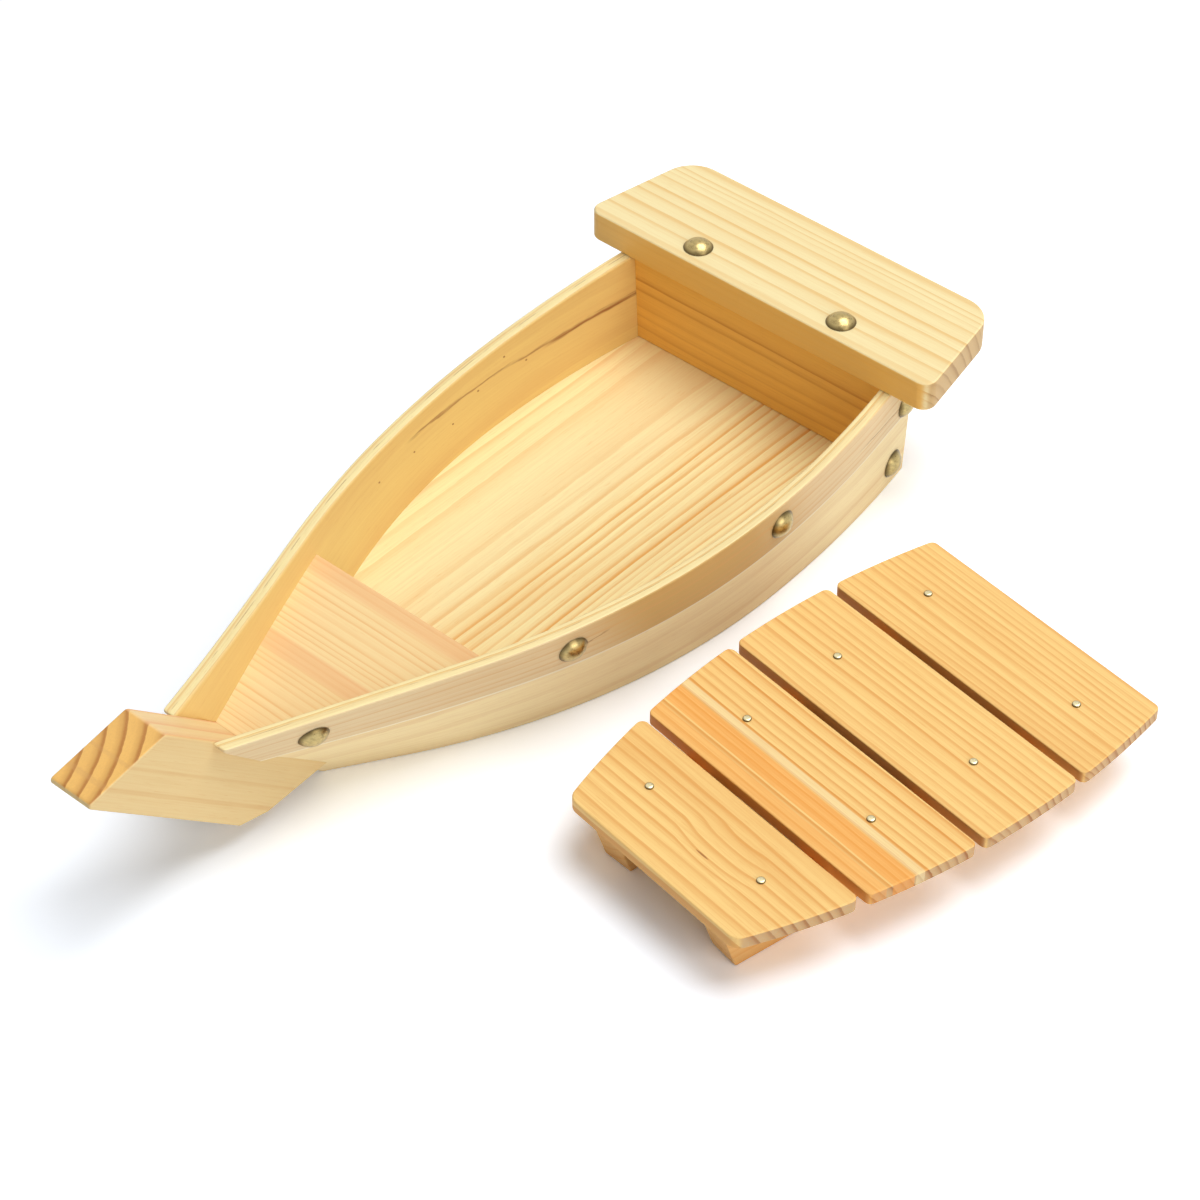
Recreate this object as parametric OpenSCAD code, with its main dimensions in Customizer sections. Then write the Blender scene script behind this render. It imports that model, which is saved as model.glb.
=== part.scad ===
// Pine sushi boat: a flared plank hull with a raked stem, a stern platform
// and a lift-out slatted deck that lies beside the hull.
// Millimetres. Bow to +X, port to +Y, flat bottom on Z = 0, waist on X = 0.

/* [Hull] */
// Half breadth over the planks along the top
beam_top = 65.5; // [60:0.5:74]
// Half breadth over the planks along the bottom
beam_low = 61.5; // [57:0.5:68]
// Radius of the top plan curve ahead of the waist
curve_top = 358; // [320:1:420]
// Radius of the top plan curve behind the waist
curve_top_aft = 415; // [360:5:700]
// Radius of the bottom plan curve ahead of the waist
curve_low_fore = 258; // [240:1:300]
// Radius of the bottom plan curve behind the waist
curve_low_aft = 450; // [350:10:700]
// Angle at which the top curve runs straight to the stem
bow_angle_top = 20.5; // [19:0.1:23]
// Angle at which the bottom curve runs straight to the stem
bow_angle_low = 33; // [30:0.5:35]
// Distance from the waist to the aft ends of the planks
aft_len = 90; // [82:0.5:98]
// Height of the planks at the low point of the sheer
side_h = 47.9; // [42:0.1:56]
// Distance of the low point of the sheer ahead of the waist
sheer_x = 62; // [45:1:80]
// Radius of the sheer ahead of the low point
sheer_r_fore = 1700; // [1400:10:3000]
// Radius of the sheer behind the low point
sheer_r_aft = 1300; // [1100:10:2000]

/* [Planking] */
// Thickness of the side planks
plank_t = 2.5; // [2:0.1:3.4]
// Thickness of the outer strakes
strake_t = 2.8; // [2:0.1:3.6]
// Depth of the outer strakes
strake_h = 19.5; // [16:0.5:23]

/* [Boards] */
// Thickness of the bottom board
bottom_t = 17.5; // [14:0.5:20]
// Thickness of the transom
transom_t = 21.5; // [18:0.5:24]
// Thickness of the bow deck
bow_deck_t = 9; // [6:0.5:11]
// Drop of the bow deck below the low point of the sheer
bow_deck_drop = 7.4; // [5:0.2:12]
// Distance from the waist to the aft edge of the bow deck
bow_deck_x = 115; // [105:1:125]

/* [Stem] */
// Thickness of the stem
stem_t = 18; // [15:0.5:20]
// Width of the stem across its rake
stem_w = 27.9; // [24:0.1:34]
// Rake of the stem above level
stem_rake = 42.4; // [40:0.1:46]
// Height of the upper corner of the stem head
stem_head_z = 72; // [66:0.5:84]
// Fall of the head cut towards the nose
stem_head_fall = 6.5; // [3:0.5:10]
// Height of the forefoot above the table
forefoot_z = 9.5; // [7:0.5:12]
// Drop of the heel below the forefoot
heel_drop = 2.1; // [1:0.1:3]
// Distance from the toe forward to the heel
heel_len = 30; // [24:0.5:36]
// Rise of the chin above the forefoot
chin_rise = 0.9; // [0.5:0.1:2]
// Radius of the nose
nose_r = 1.5; // [1:0.5:4]
// Radius of the upper corner
head_r = 2.5; // [1:0.5:4]

/* [Stern platform] */
// Length of the platform along its fore edge
platform_len = 158.6; // [150:0.2:172]
// Width of the platform fore and aft
platform_w = 49.8; // [42:0.1:60]
// Thickness of the platform
platform_t = 12; // [9:0.2:15]
// Inward run of each end towards the aft edge
platform_taper = 9.3; // [0:0.1:10]
// Radius of the aft corners
platform_r_aft = 13; // [8:0.5:16]
// Radius of the fore corners
platform_r_fore = 5; // [2:0.5:8]
// Spacing of the two platform tacks
platform_tack_gap = 66; // [50:1:80]

/* [Slatted deck] */
// Clearance from the deck to the planks at each side
deck_side_clear = 2.7; // [2:0.1:5]
// Clearance from the deck to the boards at each end
deck_end_clear = 3.75; // [2:0.25:6]
// Radius of the curved deck sides
deck_curve = 315; // [290:1:360]
// Thickness of the slats
slat_t = 5.2; // [4:0.1:7]
// Gap between two slats
slat_gap = 3; // [2:0.1:5]
// Corner radius of the slats
slat_r = 2.5; // [1:0.5:4]
// Corner radius at the narrow end of the deck
slat_end_r = 5; // [2:0.5:7]
// Height of the runners
runner_h = 20.3; // [14:0.1:24]
// Width of the runners
runner_w = 12; // [9:0.5:15]
// Set-back of the runner feet from the deck ends
runner_setback = 8.8; // [7:0.2:14]
// Slope run at each runner end
runner_slope = 6.5; // [3:0.5:6.5]
// Angle at which each runner turns in towards the bow
runner_splay = 3.6; // [0:0.1:6]
// Distance from the deck sides in to the runner centres
runner_inset = 29.4; // [26:0.2:34]
// Space between the hull and the deck on the table
deck_apart = 13.6; // [12:0.1:60]
// Distance of the deck centre ahead of the waist
deck_x = 52.3; // [40:0.1:70]
// Turn of the deck on the table
deck_turn = -8.6; // [-9:0.1:0]

/* [Fasteners] */
// Head diameter of the dome tacks
tack_d = 11; // [9:0.5:12]
// Head height of the dome tacks
tack_h = 3; // [2:0.1:4]
// Shank diameter of the dome tacks
tack_shank_d = 1.6; // [1.2:0.1:2]
// Shank length of the stern and platform tacks
tack_long = 19; // [16:0.5:22]
// Head diameter of the deck brads
brad_d = 3; // [2.4:0.1:4]
// Head height of the deck brads
brad_h = 0.7; // [0.4:0.1:1.2]
// Shank diameter of the deck brads
brad_shank_d = 1.3; // [1:0.1:1.8]
// Shank length of the deck brads
brad_len = 16; // [10:0.5:18]

/* [Fits] */
// Glue line between the hull pieces
glue = 0.05; // [0.03:0.01:0.1]
// Clearance around each nail shank
nail_clear = 0.05; // [0.03:0.01:0.1]
// Gap under each tack head
seat_gap = 0.1; // [0.08:0.01:0.2]

/* [Hidden] */
$fn = 96;
rows = 3;
edge_points = 60;
tack_edge = 0.7;
aft_x = -aft_len;
ref_h = side_h + 6.1;
waist_low_x = -5;
stem_half = stem_t / 2;
tip_half = stem_half + 1.8;
toe_half = plank_t / cos(bow_angle_low) + 0.9;
tip_x = curve_top * sin(bow_angle_top)
    + (beam_top - curve_top * (1 - cos(bow_angle_top)) - tip_half) / tan(bow_angle_top);
toe_x = waist_low_x + curve_low_fore * sin(bow_angle_low)
    + (beam_low - curve_low_fore * (1 - cos(bow_angle_low)) - toe_half) / tan(bow_angle_low);
transom_face_x = aft_x + transom_t + 0.5;
platform_x = transom_face_x + 2;
platform_z = side_h + pow(platform_x - sheer_x, 2) / (2 * sheer_r_aft);
platform_tack_x = transom_face_x - 7;
bow_deck_z = side_h - bow_deck_drop;
tack_short = strake_t + plank_t - 1.1;
stern_tack_x = aft_x + tack_d / 2 + 4.6;
deck_len = bow_deck_x - transom_face_x - 2 * deck_end_clear;
deck_half = beam_top - plank_t - deck_side_clear;
deck_waist = -(bow_deck_x + transom_face_x) / 2;
deck_y = beam_top + strake_t + deck_apart + deck_half;
slat_w = (deck_len - 3 * slat_gap) / 4;
brad_back = [2, 2, 0.3, 0.3];
runner_mid = deck_half - runner_inset;
runner_foot = deck_len / 2 - runner_setback;
wide = 4 * beam_top;
pine = [0.93, 0.80, 0.56];
pale = [0.96, 0.87, 0.66];
warm = [0.95, 0.74, 0.45];
brass = [0.72, 0.62, 0.36];

function lerp(a, b, t) = a + (b - a) * t;
function unit(v) = v / norm(v);
function steps(a, b, n) = [for (i = [0:n]) lerp(a, b, i / n)];
function flip(v) = [for (i = [len(v) - 1:-1:0]) v[i]];

// Half breadth at x of a plan curve that runs straight beyond its limit angle.
function plan(x, b, ra, rf, x0, lim) =
    let (xt = x0 + rf * sin(lim), r = x < x0 ? ra : rf)
    x > xt ? b - rf * (1 - cos(lim)) - tan(lim) * (x - xt)
        : b - r + sqrt(r * r - pow(x - x0, 2));
function plan_top(x, o) =
    plan(x, beam_top + o, curve_top_aft + o, curve_top + o, 0, bow_angle_top);
function plan_low(x, o) =
    plan(x, beam_low + o, curve_low_aft + o, curve_low_fore + o, waist_low_x, bow_angle_low);

// Point of the port side: s runs from the aft end to the stem, o is an offset outwards.
function side(s, z, o) =
    let (k = z / ref_h, xt = lerp(aft_x, tip_x, s), xb = lerp(aft_x, toe_x, s))
    [lerp(xb, xt, k), lerp(plan_low(xb, o), plan_top(xt, o), k), z];
function side_s(x, z) = (x - aft_x) / (lerp(toe_x, tip_x, z / ref_h) - aft_x);
function side_normal(s, z) =
    unit(cross(side(s - 0.004, z, 0) - side(s + 0.004, z, 0), side(s, z + 1, 0) - side(s, z - 1, 0)));

// Heights of the top edge and of the lower strake edge.
function sheer(x) =
    x > sheer_x ? side_h + pow(x - sheer_x, 2) / (2 * sheer_r_fore)
        : min(side_h + pow(x - sheer_x, 2) / (2 * sheer_r_aft), platform_z) - glue;
function strake_low(x) = sheer(x) - strake_h;
function strake_mid(x) = sheer(x) - strake_h / 2;
function edge(drop) = [for (x = steps(aft_x, tip_x + 2, edge_points)) [x, sheer(x) - drop]];

function stem_back(z) = toe_x + (z - forefoot_z) / tan(stem_rake);
function stem_front(z) = stem_back(z) + stem_w / sin(stem_rake);
function runner_v(u) = runner_mid - u * tan(runner_splay);
function slat_u(i) = (1.5 - i) * (slat_w + slat_gap);
function deck_v(u) = deck_half - deck_curve + sqrt(pow(deck_curve, 2) - pow(u - deck_waist, 2));

// Solid hull form, offset outwards by o. It runs from behind the transom to the stem
// on stations that close up towards the bow, and past the last one by the share over.
module hull_form(o, over = 0) {
    base = concat(steps(-0.05, 0.7, 30), [for (i = [1:36]) lerp(0.7, 1, i / 36)]);
    st = over > 0 ? concat(base, [1 + over]) : base;
    levels = steps(-3, ref_h + 10, rows);
    rings = [for (s = st)
        let (port = [for (z = levels) side(s, z, o)])
        concat(port, [for (q = flip(port)) [q[0], -q[1], q[2]]])];
    n = 2 * rows + 2;
    last = (len(st) - 1) * n;
    walls = [for (i = [0:len(st) - 2], j = [0:n - 1])
        let (a = i * n + j, b = i * n + (j + 1) % n)
        each [[a, a + n, b + n], [a, b + n, b]]];
    ends = [for (j = [0:rows - 1])
        each [[j, j + 1, n - 2 - j], [j, n - 2 - j, n - 1 - j]]];
    fore = [for (e = ends) [last + e[0], last + e[2], last + e[1]]];
    polyhedron([for (r = rings) each r], concat(walls, ends, fore), convexity = 8);
}

// Keeps one side of the hull, k is 1 for port and -1 for starboard.
module half(k) {
    intersection() {
        children();
        translate([-wide, k > 0 ? 0 : -wide, -wide]) cube([3 * wide, wide, 2 * wide]);
    }
}

// Upright slab drawn in the X-Z plane and centred on the keel line.
module slab(width) {
    rotate([90, 0, 0])
        linear_extrude(height = width, center = true)
            children();
}

// Corner waste at p between the directions a and b, for rounding a corner off.
module corner_waste(p, a, b, r) {
    h = acos(a * b) / 2;
    c = p + unit(a + b) * r / sin(h);
    difference() {
        polygon([p + (p - c) * 0.2, p + a * r / tan(h), c, p + b * r / tan(h)]);
        translate(c) circle(r = r);
    }
}

// Arc that rounds the corner p between the directions a and b.
function corner_arc(p, a, b, r) =
    let (h = acos(a * b) / 2, w = 180 - 2 * h, c = p + unit(a + b) * r / sin(h),
        u = unit(p + a * r / tan(h) - c), v = unit(p + b * r / tan(h) - c))
    [for (t = steps(0, 1, 8)) c + r * (sin((1 - t) * w) * u + sin(t * w) * v) / sin(w)];

// Polygon with its corners rounded off. A corner with no radius stays plain.
module rounded(p, radii) {
    n = len(p);
    polygon([for (i = [0:n - 1])
        let (a = unit(p[(i + n - 1) % n] - p[i]), b = unit(p[(i + 1) % n] - p[i]))
        each radii[i] > 0 ? corner_arc(p[i], a, b, radii[i]) : [p[i]]]);
}

module both_sides() {
    children();
    mirror([0, 1, 0]) children();
}

// Space between the side planks, less the glue line.
module between_planks() {
    hull_form(-plank_t - glue);
}

// Room taken by the stem, with the glue line around it.
module stem_room() {
    z0 = forefoot_z - glue;
    z1 = stem_head_z;
    slab(stem_t + 2 * glue)
        polygon([[stem_back(z0) - 2 * glue, z0], [toe_x + heel_len, z0 - heel_drop],
            [stem_front(z0) + 1, z0], [stem_front(z1) + 1, z1], [stem_back(z1) - 2 * glue, z1]]);
}

module plank_solid(k) {
    half(k)
    difference() {
        intersection() {
            hull_form(0);
            slab(wide) polygon(concat([[tip_x + 2, 0], [aft_x, 0]], edge(0)));
        }
        hull_form(-plank_t, 0.004);
    }
}

module strake_solid(k) {
    half(k)
    difference() {
        intersection() {
            hull_form(strake_t);
            slab(wide) polygon(concat(edge(strake_h), flip(edge(0))));
        }
        hull_form(glue, 0.004);
    }
}

// Tack with its seat on Z = 0, the head above and the shank below.
module tack(length) {
    ball = (pow(tack_d / 2, 2) + pow(tack_h, 2)) / (2 * tack_h);
    intersection() {
        translate([0, 0, tack_h - ball + seat_gap]) sphere(r = ball);
        translate([0, 0, seat_gap]) cylinder(d = tack_d + 1, h = tack_h + 1);
    }
    translate([0, 0, -length]) cylinder(d = tack_shank_d, h = length + 0.5);
}

module tack_hole(length) {
    translate([0, 0, -length - 0.2])
        cylinder(d = tack_shank_d + 2 * nail_clear, h = length + 8);
}

// Places children on the port side with their Z axis along the face normal.
module on_side(x, z, o) {
    s = side_s(x, z);
    n = side_normal(s, z);
    translate(side(s, z, o))
        rotate([0, acos(n[2]), atan2(n[1], n[0])])
            children();
}

module at_strake_tacks() {
    for (x = [-1.6, bow_deck_x - 24, tip_x - 32.2])
        on_side(x, strake_mid(x), strake_t)
            children();
}

module at_stern_tacks() {
    on_side(stern_tack_x, strake_low(stern_tack_x) + tack_d / 2 + tack_edge, strake_t)
        children();
    on_side(stern_tack_x - 0.4, bottom_t * 0.57, 0)
        children();
}

module at_platform_tacks() {
    for (k = [-1, 1])
        translate([platform_tack_x, k * platform_tack_gap / 2, platform_z + platform_t])
            children();
}

module bottom_board() {
    color(pine)
    difference() {
        intersection() {
            between_planks();
            slab(wide)
                polygon([[aft_x + 0.5, 0], [toe_x - 6, 0], [toe_x - 4 * glue, forefoot_z],
                    [stem_back(bottom_t) - 4 * glue, bottom_t], [aft_x + 0.5, bottom_t]]);
        }
        both_sides() at_stern_tacks() tack_hole(tack_long);
    }
}

module transom() {
    z0 = bottom_t + glue;
    z1 = platform_z - glue;
    color(pine)
    difference() {
        intersection() {
            between_planks();
            slab(wide)
                polygon([[aft_x + 0.5, z0], [transom_face_x, z0],
                    [transom_face_x, z1], [aft_x + 0.5, z1]]);
        }
        both_sides() at_stern_tacks() tack_hole(tack_long);
        at_platform_tacks() tack_hole(tack_long);
    }
}

module stem() {
    chin_z = forefoot_z + chin_rise;
    nose_z = stem_head_z - stem_head_fall;
    color(pine)
    slab(stem_t)
        rounded([[toe_x, forefoot_z], [toe_x + heel_len, forefoot_z - heel_drop],
            [stem_front(chin_z), chin_z], [stem_front(nose_z), nose_z],
            [stem_back(stem_head_z), stem_head_z]],
            [0, 0, 2, nose_r, head_r]);
}

module bow_deck() {
    z0 = bow_deck_z - bow_deck_t;
    color(pale)
    intersection() {
        between_planks();
        slab(wide)
            polygon([[bow_deck_x, z0], [stem_back(z0) - 2 * glue, z0],
                [stem_back(bow_deck_z) - 2 * glue, bow_deck_z], [bow_deck_x, bow_deck_z]]);
    }
}

module plank(k) {
    difference() {
        plank_solid(k);
        stem_room();
        both_sides() {
            at_strake_tacks() tack_hole(tack_short);
            at_stern_tacks() tack_hole(tack_long);
        }
    }
}

module port_plank() {
    color(pale) plank(1);
}

module starboard_plank() {
    color(pale) plank(-1);
}

module strake(k) {
    difference() {
        strake_solid(k);
        stem_room();
        both_sides() {
            at_strake_tacks() tack_hole(tack_short);
            at_stern_tacks() tack_hole(tack_long);
        }
    }
}

module port_strake() {
    color(pine) strake(1);
}

module starboard_strake() {
    color(pine) strake(-1);
}

module stern_platform() {
    h = platform_len / 2;
    a = h - platform_taper;
    color(pale)
    difference() {
        translate([platform_x, 0, platform_z])
            linear_extrude(height = platform_t)
                rounded([[0, -h], [0, h], [-platform_w, a], [-platform_w, -a]],
                    [platform_r_fore, platform_r_fore, platform_r_aft, platform_r_aft]);
        at_platform_tacks() tack_hole(tack_long);
    }
}

module port_tacks() {
    color(brass) at_strake_tacks() tack(tack_short);
}

module starboard_tacks() {
    mirror([0, 1, 0]) port_tacks();
}

module stern_tacks() {
    color(brass) both_sides() at_stern_tacks() tack(tack_long);
}

module platform_tacks() {
    color(brass) at_platform_tacks() tack(tack_long);
}

// Puts the deck where it lies on the table, its own X axis towards the bow.
module place_deck() {
    translate([deck_x, deck_y, 0])
        rotate([0, 0, deck_turn])
            children();
}

module at_brads(i) {
    u = slat_u(i) - brad_back[i];
    for (k = [-1, 1])
        translate([u, k * runner_v(u), runner_h + slat_t])
            children();
}

module brad_hole() {
    translate([0, 0, -brad_len - 0.2])
        cylinder(d = brad_shank_d + 2 * nail_clear, h = brad_len + 4);
}

module slat_outline(i) {
    difference() {
        intersection() {
            translate([slat_u(i), 0]) square([slat_w, 3 * deck_half], center = true);
            for_side_discs();
        }
        for (e = [-1, 1], k = [-1, 1]) {
            u = slat_u(i) + e * slat_w / 2;
            q = asin((u - deck_waist) / deck_curve);
            r = i == 0 && e == 1 ? slat_end_r : slat_r;
            corner_waste([u, k * deck_v(u)], [0, -k], [-e * cos(q), e * k * sin(q)], r);
        }
    }
}

module for_side_discs() {
    intersection() {
        translate([deck_waist, deck_half - deck_curve]) circle(r = deck_curve, $fn = 360);
        translate([deck_waist, deck_curve - deck_half]) circle(r = deck_curve, $fn = 360);
    }
}

module slat(i) {
    place_deck()
    difference() {
        translate([0, 0, runner_h + glue])
            linear_extrude(height = slat_t - glue)
                slat_outline(i);
        at_brads(i) brad_hole();
    }
}

module fore_slat() {
    color(warm) slat(0);
}

module second_slat() {
    color(warm) slat(1);
}

module third_slat() {
    color(warm) slat(2);
}

module aft_slat() {
    color(warm) slat(3);
}

module runner(k) {
    f = runner_foot;
    place_deck()
    difference() {
        translate([0, k * runner_mid, 0])
            rotate([0, 0, -k * runner_splay])
                slab(runner_w)
                    polygon([[-f, 0], [f, 0], [f + runner_slope, runner_h],
                        [-f - runner_slope, runner_h]]);
        for (i = [0:3]) at_brads(i) brad_hole();
    }
}

module port_runner() {
    color(pine) runner(1);
}

module starboard_runner() {
    color(pine) runner(-1);
}

module brad() {
    translate([0, 0, glue]) cylinder(d = brad_d, h = brad_h);
    translate([0, 0, -brad_len]) cylinder(d = brad_shank_d, h = brad_len + brad_h / 2);
}

module deck_brads() {
    color(brass)
    place_deck()
        for (i = [0:3]) at_brads(i) brad();
}

bottom_board();
transom();
stem();
bow_deck();
port_plank();
starboard_plank();
port_strake();
starboard_strake();
stern_platform();
port_tacks();
starboard_tacks();
stern_tacks();
platform_tacks();
fore_slat();
second_slat();
third_slat();
aft_slat();
port_runner();
starboard_runner();
deck_brads();
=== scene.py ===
"""Pine sushi boat with a lift-out slatted deck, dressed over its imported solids."""
from math import acos, asin, atan2, cos, pi, radians, sin, sqrt, tan

import bmesh
import bpy
from bpy.props import FloatProperty, FloatVectorProperty, PointerProperty
from mathutils import Matrix, Vector


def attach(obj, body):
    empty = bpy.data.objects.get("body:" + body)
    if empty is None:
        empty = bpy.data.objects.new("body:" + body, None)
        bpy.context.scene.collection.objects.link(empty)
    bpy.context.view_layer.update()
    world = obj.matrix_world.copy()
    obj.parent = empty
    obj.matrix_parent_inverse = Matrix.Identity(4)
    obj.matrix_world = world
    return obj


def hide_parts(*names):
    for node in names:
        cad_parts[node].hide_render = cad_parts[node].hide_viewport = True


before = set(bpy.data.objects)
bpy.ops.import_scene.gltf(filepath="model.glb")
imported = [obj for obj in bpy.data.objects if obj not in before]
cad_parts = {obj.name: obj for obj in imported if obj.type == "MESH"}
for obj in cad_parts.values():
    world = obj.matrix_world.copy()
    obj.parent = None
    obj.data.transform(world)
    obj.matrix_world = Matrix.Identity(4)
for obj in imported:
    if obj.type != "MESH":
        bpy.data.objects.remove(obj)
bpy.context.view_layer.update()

bl_info = {
    "name": "Sushi boat",
    "version": (1, 0, 0),
    "blender": (4, 5, 0),
    "location": "View3D > Sidebar > Sushi boat",
    "description": "Builds a pine sushi boat with a lift-out slatted deck",
    "category": "Add Mesh",
}

# Small fixed distances of the hull, in metres
REF_RISE = 0.0061  # reference line above the low point of the sheer
LOW_WAIST = -0.005  # waist of the bottom curve
TIP_PROUD = 0.0018  # planks proud of the stem at the tip
TOE_GAP = 0.0009  # half the gap between the planks at the toe
TRANSOM_INSET = 0.0005  # transom ahead of the plank ends
PLATFORM_LAP = 0.002  # platform ahead of the transom face
STERN_TACK_IN = 0.0046  # rims of the stern tacks from the plank ends
SHANK_SPARE = 0.0011  # wood left beyond the short shanks
HEAD_RUN = 0.0325  # fore and aft run of the stem head
STRIP_EASE = 0.0008  # sanded edges of the planks and strakes
RIM_EASE = 0.00015  # fine easing where a plank and its strake meet at the top
HAIR = 1e-5  # radius that closes a turned form on its axis

BEND = 1.03  # length of a bent strip over its straight run
SIDES = ((1, "port"), (-1, "starboard"))

# Directions of faces
BOW, STERN = (1, 0, 0), (-1, 0, 0)
PORT, STARBOARD = (0, 1, 0), (0, -1, 0)
UP = (0, 0, 1)

# Stretch of the noises per metre along, across and through the wood, and over the brass
SLOW_WAVE = (6.0, 24.0, 24.0)
FINE_WAVE = (45.0, 420.0, 420.0)
FIBRES = (30.0, 1500.0, 1500.0)
FLECKS = (160.0, 3200.0, 3200.0)
CLOUDS = (9.0, 45.0, 45.0)
BRASS_SPOTS = (700.0, 700.0, 700.0)
BRASS_LINES = (5200.0, 900.0, 900.0)

WHITE = (1.0, 1.0, 1.0, 1.0)


# Sizes and colours

def size(name, text, value):
    return FloatProperty(name=name, description=text, default=value, unit="LENGTH", precision=5)


def angle(name, text, degrees):
    return FloatProperty(name=name, description=text, default=radians(degrees), subtype="ANGLE")


def amount(name, text, value):
    return FloatProperty(name=name, description=text, default=value, precision=4)


def tint(name, text, value):
    return FloatVectorProperty(name=name, description=text, default=value, size=3,
                               subtype="COLOR", min=0.0, max=1.0)


class HullSizes(bpy.types.PropertyGroup):
    """Sizes of the hull."""
    beam_top: size("Top half breadth", "Half breadth over the planks along the top", 0.0655)
    beam_low: size("Bottom half breadth", "Half breadth over the planks along the bottom", 0.0615)
    curve_top: size("Top curve", "Radius of the top plan curve ahead of the waist", 0.358)
    curve_top_aft: size("Top curve aft", "Radius of the top plan curve behind the waist", 0.415)
    curve_low: size("Bottom curve", "Radius of the bottom plan curve ahead of the waist", 0.258)
    curve_low_aft: size("Bottom curve aft", "Radius of the bottom plan curve behind the waist", 0.450)
    bow_top: angle("Top bow angle", "Angle at which the top curve runs straight to the stem", 20.5)
    bow_low: angle("Bottom bow angle", "Angle at which the bottom curve runs straight to the stem", 33)
    aft_len: size("Aft length", "Distance from the waist to the aft ends of the planks", 0.090)
    side_h: size("Side height", "Height of the planks at the low point of the sheer", 0.0479)
    sheer_x: size("Sheer low point", "Low point of the sheer ahead of the waist", 0.062)
    sheer_fore: size("Fore sheer", "Radius of the sheer ahead of the low point", 1.700)
    sheer_aft: size("Aft sheer", "Radius of the sheer behind the low point", 1.300)
    plank_t: size("Plank thickness", "Thickness of the side planks", 0.0025)
    strake_t: size("Strake thickness", "Thickness of the outer strakes", 0.0028)
    strake_h: size("Strake depth", "Depth of the outer strakes", 0.0195)
    bottom_t: size("Bottom thickness", "Thickness of the bottom board", 0.0175)
    transom_t: size("Transom thickness", "Thickness of the transom", 0.0215)
    bow_deck_t: size("Bow deck thickness", "Thickness of the bow deck", 0.009)
    bow_deck_drop: size("Bow deck drop", "Drop of the bow deck below the sheer", 0.0074)
    bow_deck_x: size("Bow deck edge", "Aft edge of the bow deck ahead of the waist", 0.115)
    stem_t: size("Stem thickness", "Thickness of the stem", 0.018)
    stem_w: size("Stem width", "Width of the stem across its rake", 0.0279)
    stem_rake: angle("Stem rake", "Rake of the stem above level", 42.4)
    head_z: size("Stem head", "Height of the upper corner of the stem head", 0.072)
    head_fall: size("Head fall", "Fall of the head cut towards the nose", 0.0065)
    forefoot_z: size("Forefoot", "Height of the forefoot above the table", 0.0095)
    heel_drop: size("Heel drop", "Drop of the heel below the forefoot", 0.0021)
    heel_len: size("Heel length", "Distance from the toe forward to the heel", 0.030)
    chin_rise: size("Chin rise", "Rise of the chin above the forefoot", 0.0009)
    nose_r: size("Nose radius", "Radius of the nose", 0.0015)
    head_r: size("Head radius", "Radius of the upper corner", 0.0025)
    platform_len: size("Platform length", "Length of the platform along its fore edge", 0.1586)
    platform_w: size("Platform width", "Width of the platform fore and aft", 0.0498)
    platform_t: size("Platform thickness", "Thickness of the platform", 0.012)
    platform_taper: size("Platform taper", "Inward run of each end towards the aft edge", 0.0093)
    platform_r_aft: size("Aft corners", "Radius of the aft platform corners", 0.013)
    platform_r_fore: size("Fore corners", "Radius of the fore platform corners", 0.005)
    end_r: size("Strip ends", "Radius at the upper bow ends of the planks and strakes", 0.0022)
    ease: size("Eased edges", "Radius of the sanded edges", 0.0007)
    glue: size("Glue line", "Glue line between the hull pieces", 0.00005)


class DeckSizes(bpy.types.PropertyGroup):
    """Sizes of the lift-out deck."""
    side_clear: size("Side clearance", "Clearance from the deck to the planks at each side", 0.0027)
    end_clear: size("End clearance", "Clearance from the deck to the boards at each end", 0.00375)
    curve: size("Side curve", "Radius of the curved deck sides", 0.315)
    slat_t: size("Slat thickness", "Thickness of the slats", 0.0052)
    slat_gap: size("Slat gap", "Gap between two slats", 0.003)
    slat_r: size("Slat corners", "Corner radius of the slats", 0.0025)
    end_r: size("End corners", "Corner radius at the narrow end of the deck", 0.005)
    runner_h: size("Runner height", "Height of the runners", 0.0203)
    runner_w: size("Runner width", "Width of the runners", 0.012)
    setback: size("Runner set-back", "Set-back of the runner feet from the deck ends", 0.0088)
    slope: size("Runner slope", "Slope run at each runner end", 0.0065)
    splay: angle("Runner splay", "Angle at which each runner turns in towards the bow", 3.6)
    inset: size("Runner inset", "Distance from the deck sides in to the runner centres", 0.0294)
    apart: size("Deck apart", "Space between the hull and the deck on the table", 0.0136)
    x: size("Deck centre", "Distance of the deck centre ahead of the waist", 0.0523)
    turn: angle("Deck turn", "Turn of the deck on the table", -8.6)
    ease: size("Eased edges", "Radius of the sanded slat edges", 0.0006)


class NailSizes(bpy.types.PropertyGroup):
    """Sizes of the dome tacks and the brads."""
    tack_d: size("Tack head", "Head diameter of the dome tacks", 0.011)
    tack_h: size("Tack dome", "Head height of the dome tacks", 0.003)
    tack_shank: size("Tack shank", "Shank diameter of the dome tacks", 0.0016)
    tack_long: size("Long tack", "Shank length of the stern and platform tacks", 0.019)
    tack_seat: size("Tack seat", "Gap under each tack head", 0.0001)
    tack_gap: size("Platform tacks", "Spacing of the two platform tacks", 0.066)
    brad_d: size("Brad head", "Head diameter of the deck brads", 0.003)
    brad_h: size("Brad height", "Head height of the deck brads", 0.0007)
    brad_shank: size("Brad shank", "Shank diameter of the deck brads", 0.0013)
    brad_len: size("Brad length", "Shank length of the deck brads", 0.016)


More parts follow.
